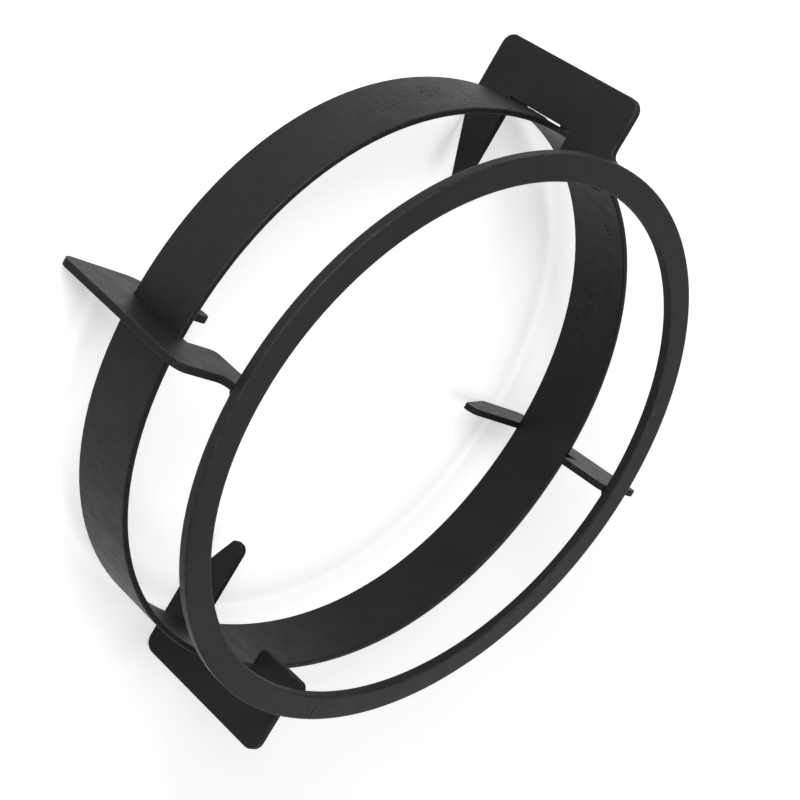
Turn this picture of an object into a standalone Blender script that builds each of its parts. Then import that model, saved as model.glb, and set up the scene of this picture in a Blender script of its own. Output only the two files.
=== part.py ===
"""Wok ring for a gas hob, in metres with +Z up.

A rolled band stands in notches on the tongues of four upright plates, and the plates carry
a flat ring that the wok sits in. Everything is mild steel, welded and painted black.
The ring's axis is Z, the plates' lower edges stand on z = 0, and plate 1 points along +X.
"""

import math

import bmesh
import bpy
from mathutils import Matrix, Vector

# Rolled band, drawn in where the plates hold it and bulging between them, except from plate 4 to plate 1
BAND_OUTER_RADIUS = 0.1291
BAND_THICKNESS = 0.0025
BAND_HEIGHT = 0.031
BAND_BULGES = (0.0022, 0.0021, 0.0024, 0.0001)
BAND_SHIFT = 0.0002
BAND_EDGE_ROUND = 0.0005

# Flat top ring that carries the wok, bent a little oval
TOP_RING_INNER_RADIUS = 0.1167
TOP_RING_WIDTH = 0.0113
TOP_RING_THICKNESS = 0.0045
TOP_RING_OVAL = 0.0006
TOP_RING_OVAL_ANGLE = math.radians(-45.0)
TOP_RING_EDGE_ROUND = 0.0006
SEAM_ANGLE = math.radians(182.1)
SEAM_SLANT = math.radians(-8.0)
SEAM_WIDTH = 0.0006
SEAM_DEPTH = 0.0004

# Four upright plates, cut from sheet
PLATE_THICKNESS = 0.003
PLATE_EDGE_ROUND = 0.0004
PLATE_ANGLES = tuple(math.radians(degrees) for degrees in (0.0, 90.4, 178.7, 270.4))
PLATE_LEAN = 0.031
WING_WIDTH = 0.0231
WING_HEIGHT = 0.078
WING_CORNER_RADIUS = 0.0055
NECK_HEIGHT = 0.004
NECK_FILLET_RADIUS = 0.0038
TAB_OVERHANG = 0.0016
TAB_CORNER_RADIUS = 0.003
TONGUE_LENGTH = 0.0404
TONGUE_HEIGHT = 0.0196
TONGUE_TIP_HEIGHT = 0.0066
TONGUE_TAPER_LENGTH = 0.0292
TONGUE_TIP_RADIUS = 0.0036
TONGUE_HEEL_RADIUS = 0.0025
NOTCH_DEPTH = 0.0016
BAND_HEADROOM = 0.0052

# Gap where one piece is seated on another, filled by weld and paint
SEAT_GAP = 0.0003

RING_STEPS = 144
CORNER_STEPS = 6
EDGE_STEPS = 2

BLACK_PAINT = (0.020, 0.020, 0.021, 1.0)
PAINT_ROUGHNESS = 0.55
SHARP_ANGLE = math.radians(35.0)

# Places worked out from the sizes above
BAND_INNER_RADIUS = BAND_OUTER_RADIUS - BAND_THICKNESS
SLOT_OUTER_RADIUS = BAND_OUTER_RADIUS + BAND_SHIFT + SEAT_GAP
SLOT_INNER_RADIUS = BAND_INNER_RADIUS - BAND_SHIFT - SEAT_GAP
NOTCH_FLOOR = TONGUE_HEIGHT - NOTCH_DEPTH
BAND_BOTTOM = NOTCH_FLOOR + SEAT_GAP
BAND_TOP = BAND_BOTTOM + BAND_HEIGHT
PLATE_TOP = WING_HEIGHT + NECK_HEIGHT
TOP_RING_BOTTOM = PLATE_TOP + SEAT_GAP
TOP_RING_TOP = TOP_RING_BOTTOM + TOP_RING_THICKNESS
TOP_RING_OUTER_RADIUS = TOP_RING_INNER_RADIUS + TOP_RING_WIDTH


def clear_scene():
    """Empties the scene of whatever it opened with."""
    for item in list(bpy.data.objects):
        bpy.data.objects.remove(item, do_unlink=True)


def black_paint(name):
    """Satin black paint on steel."""
    material = bpy.data.materials.new(name)
    material.use_nodes = True
    shader = material.node_tree.nodes["Principled BSDF"]
    shader.inputs["Base Color"].default_value = BLACK_PAINT
    shader.inputs["Roughness"].default_value = PAINT_ROUGHNESS
    shader.inputs["Metallic"].default_value = 0.0
    return material


def add_object(name, mesh):
    """Puts a mesh in the scene as one named piece."""
    piece = bpy.data.objects.new(name, mesh)
    bpy.context.scene.collection.objects.link(piece)
    return piece


def round_edges(piece, radius):
    """Breaks the sharp edges of a piece, as paint and handling leave them."""
    bevel = piece.modifiers.new("edge_round", "BEVEL")
    bevel.width = radius
    bevel.segments = EDGE_STEPS
    bevel.limit_method = "ANGLE"
    bevel.angle_limit = SHARP_ANGLE


def shade(mesh):
    """Smooth on the round faces, crisp at the edges."""
    mesh.shade_smooth()
    mesh.set_sharp_from_angle(angle=SHARP_ANGLE)


def flat_bar_ring(name, inner_radius, outer_radius, bottom, top, material):
    """A closed ring of rectangular section, spun about Z."""
    mesh = bpy.data.meshes.new(name)
    shape = bmesh.new()
    section = ((inner_radius, bottom), (outer_radius, bottom), (outer_radius, top), (inner_radius, top))
    corners = [shape.verts.new((radius, 0.0, height)) for radius, height in section]
    edges = [shape.edges.new((corners[index - 1], corners[index])) for index in range(len(corners))]
    bmesh.ops.spin(
        shape,
        geom=corners + edges,
        cent=(0.0, 0.0, 0.0),
        axis=(0.0, 0.0, 1.0),
        angle=2.0 * math.pi,
        steps=RING_STEPS,
        use_merge=True,
    )
    bmesh.ops.recalc_face_normals(shape, faces=shape.faces)
    shape.to_mesh(mesh)
    shape.free()
    shade(mesh)
    mesh.materials.append(material)
    return add_object(name, mesh)


def push_outwards(mesh, amount):
    """Moves each point away from the axis by an amount that depends on its angle round it."""
    for point in mesh.vertices:
        turn = math.atan2(point.co.y, point.co.x)
        point.co += Vector((math.cos(turn), math.sin(turn), 0.0)) * amount(turn)


def seam_cutter():
    """A thin blade that scores the butt joint across the top ring's upper face."""
    mesh = bpy.data.meshes.new("seam_blade")
    shape = bmesh.new()
    blade = Matrix.Diagonal((2.0 * TOP_RING_WIDTH, SEAM_WIDTH, 2.0 * SEAM_DEPTH, 1.0))
    bmesh.ops.create_cube(shape, size=1.0, matrix=blade)
    shape.to_mesh(mesh)
    shape.free()
    cutter = add_object("seam_blade", mesh)
    middle = (TOP_RING_INNER_RADIUS + TOP_RING_OUTER_RADIUS) / 2.0
    cutter.location = (middle * math.cos(SEAM_ANGLE), middle * math.sin(SEAM_ANGLE), TOP_RING_TOP)
    cutter.rotation_euler.z = SEAM_ANGLE + SEAM_SLANT
    cutter.hide_render = True
    cutter.display_type = "WIRE"
    return cutter


def band_bulge(turn):
    """How far the band stands out of round at an angle: nothing at the plates, most halfway between them."""
    quarter, along = divmod(turn % math.tau, math.tau / len(BAND_BULGES))
    return BAND_BULGES[int(quarter) % len(BAND_BULGES)] * math.sin(along * len(BAND_BULGES) / 2.0) ** 2


def build_band():
    """The rolled strip that stands in the plates' notches, welded nearer to plate 3 than to plate 1."""
    band = flat_bar_ring(
        "band_ring", BAND_INNER_RADIUS, BAND_OUTER_RADIUS, BAND_BOTTOM, BAND_TOP, black_paint("band_paint")
    )
    push_outwards(band.data, band_bulge)
    band.location.x = -BAND_SHIFT
    round_edges(band, BAND_EDGE_ROUND)


def top_ring_oval(turn):
    """How far the top ring stands out of round at an angle."""
    return TOP_RING_OVAL * math.cos(2.0 * (turn - TOP_RING_OVAL_ANGLE))


def build_top_ring():
    """The flat bar bent edgewise into a ring, with its butt joint."""
    ring = flat_bar_ring(
        "top_ring",
        TOP_RING_INNER_RADIUS,
        TOP_RING_OUTER_RADIUS,
        TOP_RING_BOTTOM,
        TOP_RING_TOP,
        black_paint("top_ring_paint"),
    )
    push_outwards(ring.data, top_ring_oval)
    round_edges(ring, TOP_RING_EDGE_ROUND)
    score = ring.modifiers.new("butt_joint", "BOOLEAN")
    score.operation = "DIFFERENCE"
    score.solver = "EXACT"
    score.object = seam_cutter()


def rounded_corner(before, corner, after, radius):
    """Points of the arc that rounds one corner of an outline; the corner itself if the radius is 0."""
    if radius == 0.0:
        return [corner]
    towards_before = (before - corner).normalized()
    towards_after = (after - corner).normalized()
    half_angle = towards_before.angle(towards_after) / 2.0
    centre = corner + (towards_before + towards_after).normalized() * (radius / math.sin(half_angle))
    start = corner + towards_before * (radius / math.tan(half_angle)) - centre
    turn = (math.pi - 2.0 * half_angle) * math.copysign(1.0, towards_after.cross(towards_before))
    return [centre + Matrix.Rotation(turn * step / CORNER_STEPS, 2) @ start for step in range(CORNER_STEPS + 1)]


def plate_outline():
    """The plate's edge as (distance from the axis, height) points, anticlockwise from the tongue's tip."""
    tongue_tip = BAND_OUTER_RADIUS - TONGUE_LENGTH
    tongue_heel = tongue_tip + TONGUE_TAPER_LENGTH
    wing_outer = BAND_OUTER_RADIUS + WING_WIDTH
    tab_inner = TOP_RING_INNER_RADIUS - TAB_OVERHANG
    tab_bottom = BAND_TOP + BAND_HEADROOM
    corners = (
        (tongue_tip, TONGUE_HEIGHT, TONGUE_TIP_RADIUS),
        (tongue_tip, TONGUE_HEIGHT - TONGUE_TIP_HEIGHT, TONGUE_HEEL_RADIUS),
        (tongue_heel, 0.0, 0.0),
        (wing_outer, 0.0, WING_CORNER_RADIUS),
        (wing_outer, WING_HEIGHT, WING_CORNER_RADIUS),
        (TOP_RING_OUTER_RADIUS, WING_HEIGHT, NECK_FILLET_RADIUS),
        (TOP_RING_OUTER_RADIUS, PLATE_TOP, 0.0),
        (tab_inner, PLATE_TOP, TAB_CORNER_RADIUS),
        (tab_inner, tab_bottom, TAB_CORNER_RADIUS),
        (SLOT_OUTER_RADIUS, tab_bottom, 0.0),
        (SLOT_OUTER_RADIUS, NOTCH_FLOOR, 0.0),
        (SLOT_INNER_RADIUS, NOTCH_FLOOR, 0.0),
        (SLOT_INNER_RADIUS, TONGUE_HEIGHT, 0.0),
    )
    outline = []
    for index, (radius, height, rounding) in enumerate(corners):
        before = Vector(corners[index - 1][:2])
        after = Vector(corners[(index + 1) % len(corners)][:2])
        outline += rounded_corner(before, Vector((radius, height)), after, rounding)
    return outline


def plate_mesh():
    """One plate in the XZ plane, leaning about its line at the band's top edge."""
    mesh = bpy.data.meshes.new("support_plate")
    shape = bmesh.new()
    front = [shape.verts.new((radius, -PLATE_THICKNESS / 2.0, height)) for radius, height in plate_outline()]
    face = shape.faces.new(front)
    pulled = bmesh.ops.extrude_face_region(shape, geom=[face])["geom"]
    back = [item for item in pulled if isinstance(item, bmesh.types.BMVert)]
    bmesh.ops.translate(shape, verts=back, vec=(0.0, PLATE_THICKNESS, 0.0))
    for corner in shape.verts:
        corner.co.y += PLATE_LEAN * (corner.co.z - BAND_TOP)
    bmesh.ops.recalc_face_normals(shape, faces=shape.faces)
    shape.to_mesh(mesh)
    shape.free()
    shade(mesh)
    return mesh


def build_plates():
    """Four like plates round the ring, each with its tongue inwards and its wing outwards."""
    mesh = plate_mesh()
    mesh.materials.append(black_paint("plate_paint"))
    for number, angle in enumerate(PLATE_ANGLES, start=1):
        plate = add_object(f"support_plate_{number}", mesh)
        plate.rotation_euler.z = angle
        round_edges(plate, PLATE_EDGE_ROUND)


def main():
    clear_scene()
    build_band()
    build_top_ring()
    build_plates()


main()
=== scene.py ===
"""Looks of the wok ring: satin black paint on welded steel, on a white floor in soft light.

Metres, +Z up. The camera looks down at the ring from the side of plate 2, turned about its own
axis so that the wok's side of the ring faces the lower right of the picture.
"""

import math
import random

import bmesh
import bpy
from mathutils import Matrix, Vector, noise


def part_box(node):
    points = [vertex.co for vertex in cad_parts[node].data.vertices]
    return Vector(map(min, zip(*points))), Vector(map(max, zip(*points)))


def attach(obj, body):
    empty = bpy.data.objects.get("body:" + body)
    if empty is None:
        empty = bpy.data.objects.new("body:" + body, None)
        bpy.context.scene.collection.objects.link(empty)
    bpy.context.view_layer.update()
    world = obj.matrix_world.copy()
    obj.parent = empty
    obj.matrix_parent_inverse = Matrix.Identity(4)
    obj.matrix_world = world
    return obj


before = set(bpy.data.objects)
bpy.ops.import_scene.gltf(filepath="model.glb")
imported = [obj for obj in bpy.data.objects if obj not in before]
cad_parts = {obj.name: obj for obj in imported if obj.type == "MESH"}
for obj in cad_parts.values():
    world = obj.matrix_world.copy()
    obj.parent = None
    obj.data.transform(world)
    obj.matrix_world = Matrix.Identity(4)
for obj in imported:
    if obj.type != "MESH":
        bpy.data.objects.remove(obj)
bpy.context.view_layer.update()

# Steel that the welds and the marks in the paint follow
BAND_BOTTOM, BAND_TOP = (corner.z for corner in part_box("band_ring"))
TOP_RING_BOTTOM, TOP_RING_TOP = (corner.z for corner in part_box("top_ring"))
BAND_OUTER_RADIUS = 0.1291
BAND_INNER_RADIUS = 0.1266
TOP_RING_INNER_RADIUS = 0.1167
TAB_INNER_RADIUS = 0.1151
PLATE_HALF_THICKNESS = 0.0015
PLATE_LEAN = 0.031
PLATE_ANGLES = tuple(math.radians(degrees) for degrees in (0.0, 90.4, 178.7, 270.4))

# Weld beads: size, fineness, blunt ends, lumps, ripples, and how far they lie off the steel they follow
BEAD_RADIUS = 0.0020
BEAD_SIDES = 14
BEAD_STEP = 0.00025
BEAD_END_POWER = 6
BEAD_LUMP_SCALE = 700.0
BEAD_LUMP_SHARE = 0.30
BEAD_RIPPLE_LENGTH = 0.0013
BEAD_RIPPLE_SHARE = 0.07
BEAD_SEED_STEP = 7.3
BEAD_OFFSET = 0.0002

# Tacks under the top ring and beside the band, on one face of a plate; a side is in half thicknesses
TACK_SIDE = 1.2
RING_TACK_START = 0.0012
RING_TACK_LENGTH = 0.0096
LOWER_TACK = ((0.0190, 0.0258),)
BOTH_TACKS = LOWER_TACK + ((0.0385, 0.0460),)

# Small welds under the band's lower edge, on both faces of every plate
HEEL_SIDES = (-0.8, 0.8)
HEEL_REACH = 0.0009
HEEL_RADIUS = 0.0005

# Other beads: distance from the axis, side and height of both ends, and radius
SLIT_BEADS = (
    ((0.1293, 0.3, 0.0185), (0.1293, 0.3, 0.0268), 0.0006),
    ((0.1290, 0.2, 0.0250), (0.1290, 0.2, 0.0404), 0.00036),
    ((0.1294, 0.3, 0.0482), (0.1294, 0.3, 0.0547), 0.0007),
)
CORNER_BEADS = (((0.1240, 0.0, 0.0543), (0.1294, 0.0, 0.0540), 0.0013),)
WING_BURRS = (
    ((0.1517, 0.1, 0.0731), (0.1517, 0.7, 0.0735), 0.00040),
    ((0.1516, -0.8, 0.0739), (0.1516, -0.3, 0.07425), 0.00035),
    ((0.1513, -0.2, 0.0749), (0.1513, 0.8, 0.0754), 0.00050),
    ((0.1508, -0.9, 0.0757), (0.1508, 0.0, 0.0760), 0.00030),
    ((0.1503, 0.2, 0.0766), (0.1503, 0.8, 0.07705), 0.00045),
    ((0.1492, -0.6, 0.0773), (0.1492, -0.1, 0.07765), 0.00035),
)

# Spatter: distance from the axis, range of sides, range of heights, count, greatest radius, and seed
BAND_SPATTER = (
    (BAND_OUTER_RADIUS + 0.0003, (-1.1, -1.0), (0.0250, 0.0320), 5, 0.00035, 3),
    (BAND_OUTER_RADIUS + 0.0002, (-1.0, -0.9), (0.0200, 0.0470), 6, 0.00025, 5),
)
TAB_SPATTER = ((TAB_INNER_RADIUS + 0.0001, (-0.7, 0.9), (0.0610, 0.0770), 22, 0.00050, 11),)
LUMP_RADIUS_SHARES = (0.45, 1.0)
LUMP_LENGTH_SHARES = (2.5, 5.0)

# Weld metal of each plate: the face with the tacks, the tacks beside the band, other beads, and spatter
PLATE_WELDS = (
    (-TACK_SIDE, LOWER_TACK, SLIT_BEADS, ()),
    (TACK_SIDE, BOTH_TACKS, WING_BURRS, BAND_SPATTER),
    (TACK_SIDE, BOTH_TACKS, CORNER_BEADS, ()),
    (-TACK_SIDE, BOTH_TACKS, (), TAB_SPATTER),
)

# Paint: its colours, how strongly it shines, and how far it rounds the edges
PAINT_DARK = (0.0040, 0.0040, 0.0042, 1.0)
PAINT_LIGHT = (0.0085, 0.0085, 0.0088, 1.0)
PAINT_WORN = (0.090, 0.090, 0.090, 1.0)
# Darkest colour: painted shade on the band's rim under the top ring, and the darker paint in pits, along the
# seam and on cut edges
PAINT_SHADE_AND_DARK_MARKS = (0.0015, 0.0015, 0.0015, 1.0)
PAINT_GLOSS = 0.15
PAINT_ROUGHNESS = (0.42, 0.53)
EDGE_SOFTNESS = 0.0010
EDGE_SAMPLES = 6

# Noise in the paint: scale, detail and roughness, and the range that most of its values lie in
CLOUD_NOISE = (38.0, 5.0, 0.6)
SATIN_NOISE = (140.0, 4.0, 0.6)
WEAR_NOISE = (220.0, 6.0, 0.8)
CUT_NOISE = (420.0, 4.0, 0.7)
PEEL_NOISE = (900.0, 2.0, 0.5)
GRAIN_NOISE = (1900.0, 1.0, 0.5)
NOISE_RANGE = (0.3, 0.7)

# Heights of the paint's relief, in millimetres
PEEL_HEIGHT = 0.045
GRAIN_HEIGHT = 0.05
CUT_EDGE_HEIGHT = 0.25
PIT_DEPTH = 0.30
MILLIMETRE = 0.001

# Wear on the edges: how closely the rounded and the flat direction agree, its patches, and its shares
EDGE_AGREEMENT = (0.88, 0.99)
WEAR_PATCHES = (0.45, 0.62)
WEAR_SHARES = (0.1, 1.0)
RING_WEAR = 0.7
PLATE_WEAR = 0.9
WELD_WEAR = 0.5

# Plates' cut edges beside their faces: how much darker and rougher
CUT_EDGE_FACING = (0.3, 0.8)
CUT_EDGE_SHADE = 0.6
CUT_EDGE_ROUGHNESS = 0.15

# How far up a surface faces, for the painted shade on the band's rim: walls end at the first value, and level
# faces start at the second
UPRIGHT_AND_LEVEL = (0.5, 0.9)

# Pits in the paint of the band: middle and half width of the angle and of the height that they cover
BAND_PITS = (
    (math.radians(31.0), math.radians(10.0), 0.0330, 0.0070),
    (math.radians(22.0), math.radians(3.0), 0.0440, 0.0040),
    (math.radians(-40.0), math.radians(15.0), 0.0410, 0.0030),
    (math.radians(300.0), math.radians(12.0), 0.0300, 0.0060),
)
PIT_SCALE = 700.0
PIT_SIZE = 0.46
PIT_LUCK = (0.2, 1.0)
PIT_RIM = 0.08
PIT_SHARE = 0.85
PATCH_FADE = 0.3

# Chips in the paint of the top ring's upper face: place and radius
RING_CHIPS = (
    ((0.0427, -0.1119, TOP_RING_TOP), 0.0006),
    ((0.0375, -0.1120, TOP_RING_TOP), 0.0005),
)
CHIP_CORE = 0.5

# Butt joint across the top ring: a point on it, its direction, its half width, and how far out it starts
SEAM_POINT = (-0.12226, -0.00448)
SEAM_ANGLE = math.radians(174.1)
SEAM_HALF_WIDTH = 0.0004
SEAM_CORE = 0.3
SEAM_SHARE = 0.7
SEAM_BEGINS = (0.05, 0.06)

# Floor: its size and whiteness, and how it glows towards its far edge
FLOOR_RADIUS = 12.0
FLOOR_SIDES = 64
FLOOR_WHITE = (0.85, 0.85, 0.85, 1.0)
FLOOR_GLOW = 0.44
FLOOR_GLOW_REACH = (0.3, 2.5)

# Lamps: turn and rise in degrees from the ring's middle, distance, width, and power in watts
LAMPS = {
    "key_light": (55.0, 28.0, 1.0, 0.5, 10.0),
    "back_light": (240.0, 12.0, 0.8, 0.4, 0.5),
    "top_light": (90.0, 89.964, 1.6, 1.0, 12.0),
}
WORLD_WHITE = (1.0, 1.0, 1.0, 1.0)
WORLD_LIGHT = 0.05

# Camera
CAMERA_PLACE = (0.12844, 0.57281, 0.49084)
CAMERA_TARGET = (0.0023, 0.0003, 0.0483)
CAMERA_ROLL = math.radians(127.95)
CAMERA_LENS = 81.37
CAMERA_SENSOR = 36.0


def math_node(tree, operation, first, second=0.0):
    """One arithmetic step; each side is a socket or a number."""
    node = tree.nodes.new("ShaderNodeMath")
    node.operation = operation
    for slot, value in enumerate((first, second)):
        if isinstance(value, bpy.types.NodeSocket):
            tree.links.new(value, node.inputs[slot])
        else:
            node.inputs[slot].default_value = value
    return node.outputs[0]


def remap(tree, value, source, target=(0.0, 1.0)):
    """Rescales a value from one range to another, and clamps it."""
    node = tree.nodes.new("ShaderNodeMapRange")
    tree.links.new(value, node.inputs["Value"])
    node.inputs["From Min"].default_value, node.inputs["From Max"].default_value = source
    node.inputs["To Min"].default_value, node.inputs["To Max"].default_value = target
    return node.outputs[0]


def mix_colour(tree, share, first, second):
    """Goes from the first colour to the second; each is a socket or a colour."""
    node = tree.nodes.new("ShaderNodeMix")
    node.data_type = "RGBA"
    tree.links.new(share, node.inputs["Factor"])
    for name, colour in (("A", first), ("B", second)):
        if isinstance(colour, bpy.types.NodeSocket):
            tree.links.new(colour, node.inputs[name])
        else:
            node.inputs[name].default_value = colour
    return node.outputs["Result"]


def noise_value(tree, place, kind):
    """Cloudy noise in space, from 0 to 1; its kind is a scale, detail and roughness."""
    node = tree.nodes.new("ShaderNodeTexNoise")
    tree.links.new(place, node.inputs["Vector"])
    for name, value in zip(("Scale", "Detail", "Roughness"), kind):
        node.inputs[name].default_value = value
    return node.outputs["Fac"]


def dot_product(tree, first, second):
    """How far two directions agree; the second is a socket or a fixed direction."""
    node = tree.nodes.new("ShaderNodeVectorMath")
    node.operation = "DOT_PRODUCT"
    tree.links.new(first, node.inputs[0])
    if isinstance(second, bpy.types.NodeSocket):
        tree.links.new(second, node.inputs[1])
    else:
        node.inputs[1].default_value = second
    return node.outputs["Value"]


def surface_normal(tree):
    """The surface's own direction."""
    return tree.nodes.new("ShaderNodeNewGeometry").outputs["Normal"]


def window(tree, value, middle, half_width):
    """1 where a value is near the middle of a range, fading to 0 just past its ends."""
    away = math_node(tree, "ABSOLUTE", math_node(tree, "SUBTRACT", value, middle))
    fade = (half_width * (1.0 - PATCH_FADE), half_width * (1.0 + PATCH_FADE))
    return remap(tree, away, fade, (1.0, 0.0))


def spot(tree, place, middle, radius):
    """1 at a small round mark, and 0 beyond its rim."""
    node = tree.nodes.new("ShaderNodeVectorMath")
    node.operation = "DISTANCE"
    tree.links.new(place, node.inputs[0])
    node.inputs[1].default_value = middle
    return remap(tree, node.outputs["Value"], (radius * CHIP_CORE, radius), (1.0, 0.0))


def soft_normal(tree):
    """The surface's direction, rounded off over the edges as by a thick coat of paint."""
    bevel = tree.nodes.new("ShaderNodeBevel")
    bevel.samples = EDGE_SAMPLES
    bevel.inputs["Radius"].default_value = EDGE_SOFTNESS
    return bevel.outputs["Normal"]


def edge_mask(tree, place, rounded):
    """1 on the edges where the paint is thin, broken up by noise, and 0 on the flats."""
    corner = remap(tree, dot_product(tree, rounded, surface_normal(tree)), EDGE_AGREEMENT, (1.0, 0.0))
    patches = remap(tree, noise_value(tree, place, WEAR_NOISE), WEAR_PATCHES, WEAR_SHARES)
    return math_node(tree, "MULTIPLY", corner, patches)


def pit_area(tree, place, patches):
    """1 within the patches of the band where the paint is pitted."""
    parts = tree.nodes.new("ShaderNodeSeparateXYZ")
    tree.links.new(place, parts.inputs[0])
    turn = math_node(tree, "ARCTAN2", parts.outputs["Y"], parts.outputs["X"])
    area = None
    for middle_turn, half_turn, middle_height, half_height in patches:
        turn_share = window(tree, turn, math.remainder(middle_turn, math.tau), half_turn)
        height_share = window(tree, parts.outputs["Z"], middle_height, half_height)
        patch = math_node(tree, "MULTIPLY", turn_share, height_share)
        area = patch if area is None else math_node(tree, "MAXIMUM", area, patch)
    return area


def band_pits(tree, place):
    """Small round pits of mixed sizes, only within the band's pitted patches."""
    cells = tree.nodes.new("ShaderNodeTexVoronoi")
    tree.links.new(place, cells.inputs["Vector"])
    cells.inputs["Scale"].default_value = PIT_SCALE
    luck = tree.nodes.new("ShaderNodeSeparateColor")
    tree.links.new(cells.outputs["Color"], luck.inputs["Color"])
    size = remap(tree, luck.outputs["Red"], PIT_LUCK, (0.0, PIT_SIZE))
    reach = math_node(tree, "MULTIPLY", size, pit_area(tree, place, BAND_PITS))
    inside = math_node(tree, "SUBTRACT", reach, cells.outputs["Distance"])
    return remap(tree, inside, (0.0, PIT_RIM), (0.0, PIT_SHARE))


def ring_chips(tree, place):
    """The few chips in the top ring's upper face."""
    most = 0.0
    for middle, radius in RING_CHIPS:
        most = math_node(tree, "MAXIMUM", spot(tree, place, middle, radius), most)
    return most


def ring_seam(tree, place):
    """1 in the butt joint across the top ring, and 0 elsewhere."""
    across = (-math.sin(SEAM_ANGLE), math.cos(SEAM_ANGLE), 0.0)
    offset = SEAM_POINT[0] * across[0] + SEAM_POINT[1] * across[1]
    away = math_node(tree, "SUBTRACT", dot_product(tree, place, across), offset)
    fade = (SEAM_HALF_WIDTH * SEAM_CORE, SEAM_HALF_WIDTH)
    line = remap(tree, math_node(tree, "ABSOLUTE", away), fade, (SEAM_SHARE, 0.0))
    this_side = remap(tree, dot_product(tree, place, (-1.0, 0.0, 0.0)), SEAM_BEGINS)
    return math_node(tree, "MULTIPLY", line, this_side)


def cut_edge_mask(tree, angle):
    """1 on the cut edges of a plate, and 0 on its two faces."""
    across = (-math.sin(angle), math.cos(angle), 0.0)
    facing = math_node(tree, "ABSOLUTE", dot_product(tree, surface_normal(tree), across))
    return remap(tree, facing, CUT_EDGE_FACING, (1.0, 0.0))


def upward_mask(tree):
    """1 on what faces up, and 0 on upright walls; it places the painted shade on the band's rim."""
    return remap(tree, dot_product(tree, surface_normal(tree), (0.0, 0.0, 1.0)), UPRIGHT_AND_LEVEL)


def raise_surface(tree, height, rounded, shader):
    """Raises the surface by a height map in millimetres."""
    node = tree.nodes.new("ShaderNodeBump")
    node.inputs["Strength"].default_value = 1.0
    node.inputs["Distance"].default_value = MILLIMETRE
    tree.links.new(height, node.inputs["Height"])
    tree.links.new(rounded, node.inputs["Normal"])
    tree.links.new(node.outputs["Normal"], shader.inputs["Normal"])


def add_mask(tree, value, mask, amount):
    """Adds a mask to a value, times an amount."""
    return math_node(tree, "ADD", value, math_node(tree, "MULTIPLY", mask, amount))


def black_paint(name, hollows=None, chips=None, cut_angle=None, painted_shade_rim=False, wear=RING_WEAR):
    """Satin black paint: cloudy tone, fine orange peel, thin lighter edges, the piece's own marks, and, where
    asked, painted shade on what faces up.
    """
    material = bpy.data.materials.new(name)
    material.use_nodes = True
    tree = material.node_tree
    shader = tree.nodes["Principled BSDF"]
    shader.inputs["Specular IOR Level"].default_value = PAINT_GLOSS
    place = tree.nodes.new("ShaderNodeTexCoord").outputs["Object"]

    rounded = soft_normal(tree)
    clouds = remap(tree, noise_value(tree, place, CLOUD_NOISE), NOISE_RANGE)
    tone = mix_colour(tree, clouds, PAINT_DARK, PAINT_LIGHT)
    # Painted shade: what faces up on the band, its rim under the top ring, is darkened in its colour
    if painted_shade_rim:
        tone = mix_colour(tree, upward_mask(tree), tone, PAINT_SHADE_AND_DARK_MARKS)
    worn = math_node(tree, "MULTIPLY", edge_mask(tree, place, rounded), wear)
    tone = mix_colour(tree, worn, tone, PAINT_WORN)
    satin = remap(tree, noise_value(tree, place, SATIN_NOISE), NOISE_RANGE, PAINT_ROUGHNESS)
    height = math_node(tree, "MULTIPLY", noise_value(tree, place, PEEL_NOISE), PEEL_HEIGHT)
    height = add_mask(tree, height, noise_value(tree, place, GRAIN_NOISE), GRAIN_HEIGHT)

    if hollows is not None:
        mark = hollows(tree, place)
        tone = mix_colour(tree, mark, tone, PAINT_SHADE_AND_DARK_MARKS)
        satin = math_node(tree, "MAXIMUM", satin, mark)
        height = add_mask(tree, height, mark, -PIT_DEPTH)
    if chips is not None:
        tone = mix_colour(tree, chips(tree, place), tone, PAINT_WORN)
    if cut_angle is not None:
        cut = cut_edge_mask(tree, cut_angle)
        tone = mix_colour(tree, math_node(tree, "MULTIPLY", cut, CUT_EDGE_SHADE), tone, PAINT_SHADE_AND_DARK_MARKS)
        satin = add_mask(tree, satin, cut, CUT_EDGE_ROUGHNESS)
        coarse = math_node(tree, "MULTIPLY", cut, noise_value(tree, place, CUT_NOISE))
        height = add_mask(tree, height, coarse, CUT_EDGE_HEIGHT)

    tree.links.new(tone, shader.inputs["Base Color"])
    tree.links.new(satin, shader.inputs["Roughness"])
    raise_surface(tree, height, rounded, shader)
    return material


def paint_steel():
    """Gives each painted piece its finish."""
    finishes = {
        # The band's rim under the top ring gets painted shade
        "band_ring": black_paint("band_finish", hollows=band_pits, painted_shade_rim=True),
        "top_ring": black_paint("top_ring_finish", hollows=ring_seam, chips=ring_chips),
    }
    for number, angle in enumerate(PLATE_ANGLES, start=1):
        finish = black_paint(f"plate_finish_{number}", cut_angle=angle, wear=PLATE_WEAR)
        finishes[f"support_plate_{number}"] = finish
    for name, material in finishes.items():
        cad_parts[name].material_slots[0].material = material


def on_plate(angle, radius, side, height):
    """A place on a leaning plate: side -1 and 1 are its two faces, and 0 is halfway between them."""
    across = side * PLATE_HALF_THICKNESS + PLATE_LEAN * (height - BAND_TOP)
    return Matrix.Rotation(angle, 3, "Z") @ Vector((radius, across, height))


def resample(start, end):
    """Evenly spaced points from one end of a bead to the other."""
    steps = max(3, round((end - start).length / BEAD_STEP))
    return [start.lerp(end, step / steps) for step in range(steps + 1)]


def bead_radius(point, share, length, radius, seed):
    """A bead's radius at one point: lumpy, rippled as weld metal freezes, and drawn in at both ends."""
    taper = math.sqrt(max(0.0, 1.0 - (2.0 * share - 1.0) ** BEAD_END_POWER))
    lump = noise.noise(point * BEAD_LUMP_SCALE + Vector((seed, 0.0, 0.0)))
    ripple = math.sin(math.tau * length * share / BEAD_RIPPLE_LENGTH)
    return radius * taper * (1.0 + BEAD_LUMP_SHARE * lump + BEAD_RIPPLE_SHARE * ripple)


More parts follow.
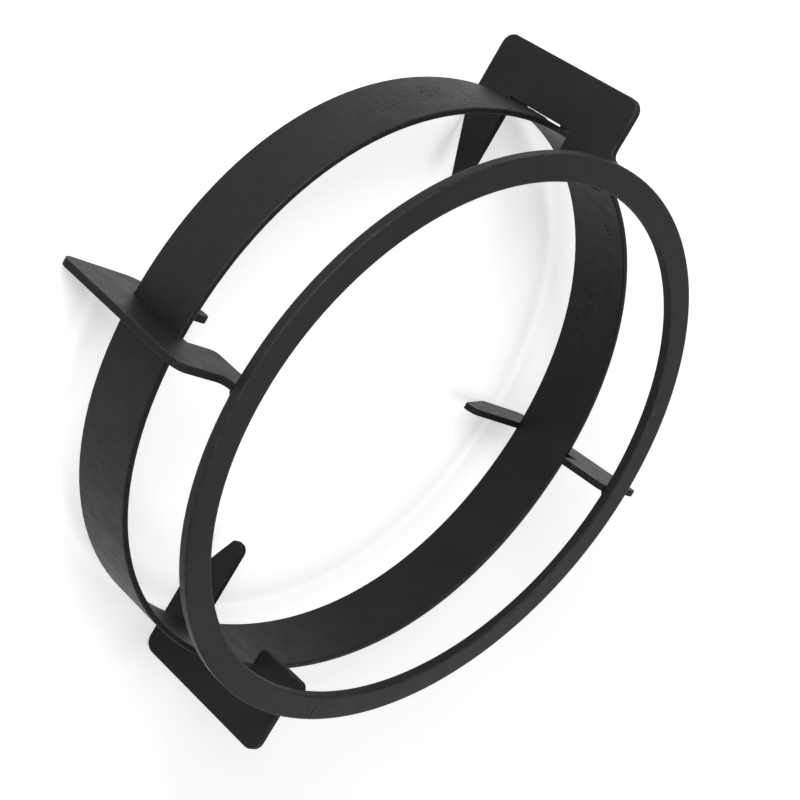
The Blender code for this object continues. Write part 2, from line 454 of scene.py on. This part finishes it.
def add_bead(shape, start, end, radius, seed):
    """One lumpy rod of weld metal with closed, rounded ends."""
    points = resample(start, end)
    along = (end - start).normalized()
    length = (end - start).length
    first_side = along.orthogonal().normalized()
    second_side = along.cross(first_side)
    rings = []
    for step, centre in enumerate(points[1:-1], start=1):
        ring = []
        for corner in range(BEAD_SIDES):
            turn = math.tau * corner / BEAD_SIDES
            out = first_side * math.cos(turn) + second_side * math.sin(turn)
            reach = bead_radius(centre + out * radius, step / (len(points) - 1), length, radius, seed)
            ring.append(shape.verts.new(centre + out * reach))
        rings.append(ring)
    for before, after in zip(rings, rings[1:]):
        for corner in range(BEAD_SIDES):
            following = (corner + 1) % BEAD_SIDES
            shape.faces.new((before[corner], before[following], after[following], after[corner]))
    for ring, tip in ((rings[0][::-1], points[0]), (rings[-1], points[-1])):
        point = shape.verts.new(tip)
        for corner in range(BEAD_SIDES):
            shape.faces.new((ring[corner], ring[(corner + 1) % BEAD_SIDES], point))


def weld_piece(name, beads, material):
    """Joins the beads of one plate into one piece that rides on the ring."""
    mesh = bpy.data.meshes.new(name)
    shape = bmesh.new()
    for seed, (start, end, radius) in enumerate(beads):
        add_bead(shape, start, end, radius, seed * BEAD_SEED_STEP)
    bmesh.ops.recalc_face_normals(shape, faces=shape.faces)
    shape.to_mesh(mesh)
    shape.free()
    mesh.shade_smooth()
    mesh.materials.append(material)
    piece = bpy.data.objects.new(name, mesh)
    bpy.context.scene.collection.objects.link(piece)
    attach(piece, "root")


def beads_on_plate(angle, rows):
    """Places beads on the plate at an angle."""
    return [(on_plate(angle, *start), on_plate(angle, *end), radius) for start, end, radius in rows]


def tack_rows(side, tacks):
    """The tacks that hold the top ring and the band to one face of a plate."""
    inner = TOP_RING_INNER_RADIUS + RING_TACK_START
    height = TOP_RING_BOTTOM - BEAD_OFFSET
    rows = [((inner, side, height), (inner + RING_TACK_LENGTH, side, height), BEAD_RADIUS)]
    beside_band = BAND_OUTER_RADIUS + BEAD_OFFSET
    for low, high in tacks:
        rows.append(((beside_band, side, low), (beside_band, side, high), BEAD_RADIUS))
    return rows


def heel_rows():
    """The small welds under the band's lower edge."""
    inner = BAND_INNER_RADIUS - BEAD_OFFSET
    outer = BAND_OUTER_RADIUS + HEEL_REACH
    height = BAND_BOTTOM - BEAD_OFFSET
    return [((inner, side, height), (outer, side, height), HEEL_RADIUS) for side in HEEL_SIDES]


def spatter(angle, rows):
    """Short upright lumps of weld metal, scattered up a plate."""
    beads = []
    for radius, sides, heights, count, greatest, seed in rows:
        luck = random.Random(seed)
        for _ in range(count):
            height = luck.uniform(*heights)
            side = luck.uniform(*sides)
            thickness = greatest * luck.uniform(*LUMP_RADIUS_SHARES)
            start = on_plate(angle, radius, side, height)
            end = on_plate(angle, radius, side, height + thickness * luck.uniform(*LUMP_LENGTH_SHARES))
            beads.append((start, end, thickness))
    return beads


def weld_steel():
    """All the weld metal, plate by plate."""
    material = black_paint("weld_finish", wear=WELD_WEAR)
    for number, (angle, welds) in enumerate(zip(PLATE_ANGLES, PLATE_WELDS), start=1):
        side, tacks, other_rows, spatter_rows = welds
        beads = beads_on_plate(angle, tack_rows(side, tacks) + heel_rows())
        beads += spatter(angle, spatter_rows)
        beads += beads_on_plate(angle, other_rows)
        weld_piece(f"weld_{number}", beads, material)


def seen_directly(tree):
    """1 for what the camera sees, also mirrored or through glass, and 0 for light that falls on things."""
    rays = tree.nodes.new("ShaderNodeLightPath")
    reflected = math_node(tree, "MAXIMUM", rays.outputs["Is Glossy Ray"], rays.outputs["Is Transmission Ray"])
    return math_node(tree, "MAXIMUM", rays.outputs["Is Camera Ray"], reflected)


def floor_finish():
    """Matt white that keeps shadows and glows more with distance, so that its far edge can't be seen."""
    material = bpy.data.materials.new("white_floor")
    material.use_nodes = True
    tree = material.node_tree
    tree.nodes.remove(tree.nodes["Principled BSDF"])
    matt = tree.nodes.new("ShaderNodeBsdfDiffuse")
    matt.inputs["Color"].default_value = FLOOR_WHITE
    away = tree.nodes.new("ShaderNodeVectorMath")
    away.operation = "LENGTH"
    tree.links.new(tree.nodes.new("ShaderNodeTexCoord").outputs["Object"], away.inputs[0])
    whiteness = remap(tree, away.outputs["Value"], FLOOR_GLOW_REACH, (FLOOR_GLOW, 1.0))
    glow = tree.nodes.new("ShaderNodeEmission")
    tree.links.new(math_node(tree, "MULTIPLY", seen_directly(tree), whiteness), glow.inputs["Strength"])
    both = tree.nodes.new("ShaderNodeAddShader")
    tree.links.new(matt.outputs[0], both.inputs[0])
    tree.links.new(glow.outputs[0], both.inputs[1])
    tree.links.new(both.outputs[0], tree.nodes["Material Output"].inputs["Surface"])
    return material


def white_floor():
    """A wide round floor under the plates."""
    mesh = bpy.data.meshes.new("floor")
    shape = bmesh.new()
    bmesh.ops.create_circle(shape, cap_ends=True, segments=FLOOR_SIDES, radius=FLOOR_RADIUS)
    shape.to_mesh(mesh)
    shape.free()
    mesh.materials.append(floor_finish())
    floor = bpy.data.objects.new("floor", mesh)
    bpy.context.scene.collection.objects.link(floor)


def white_world():
    """White to look at, and a faint plain grey as light."""
    world = bpy.data.worlds.new("studio")
    bpy.context.scene.world = world
    world.use_nodes = True
    tree = world.node_tree
    background = tree.nodes["Background"]
    background.inputs["Color"].default_value = WORLD_WHITE
    strength = remap(tree, seen_directly(tree), (0.0, 1.0), (WORLD_LIGHT, 1.0))
    tree.links.new(strength, background.inputs["Strength"])


def soft_light(name, place, size, power):
    """A square softbox that faces the ring."""
    lamp = bpy.data.lights.new(name, "AREA")
    lamp.shape = "SQUARE"
    lamp.size = size
    lamp.energy = power
    light = bpy.data.objects.new(name, lamp)
    bpy.context.scene.collection.objects.link(light)
    light.location = place
    light.rotation_euler = (Vector(CAMERA_TARGET) - Vector(place)).to_track_quat("-Z", "Y").to_euler()
    light.visible_camera = False


def around(turn, rise, distance):
    """A place at a turn and a rise from the ring's middle, in degrees."""
    flat = distance * math.cos(math.radians(rise))
    turn = math.radians(turn)
    return (flat * math.cos(turn), flat * math.sin(turn), distance * math.sin(math.radians(rise)))


def lighting():
    """A broad light from the camera's side, a faint one from behind the ring, and one overhead."""
    for name, (turn, rise, distance, size, power) in LAMPS.items():
        soft_light(name, around(turn, rise, distance), size, power)


def camera():
    """The camera, aimed at the ring and rolled about its line of sight."""
    lens = bpy.data.cameras.new("camera")
    lens.lens = CAMERA_LENS
    lens.sensor_width = CAMERA_SENSOR
    view = bpy.data.objects.new("camera", lens)
    bpy.context.scene.collection.objects.link(view)
    view.location = CAMERA_PLACE
    aim = (Vector(CAMERA_TARGET) - Vector(CAMERA_PLACE)).to_track_quat("-Z", "Y").to_matrix()
    view.rotation_euler = (aim @ Matrix.Rotation(CAMERA_ROLL, 3, "Z")).to_euler()
    bpy.context.scene.camera = view


def main():
    bpy.context.scene.view_settings.view_transform = "Standard"
    paint_steel()
    weld_steel()
    white_floor()
    white_world()
    lighting()
    camera()


main()
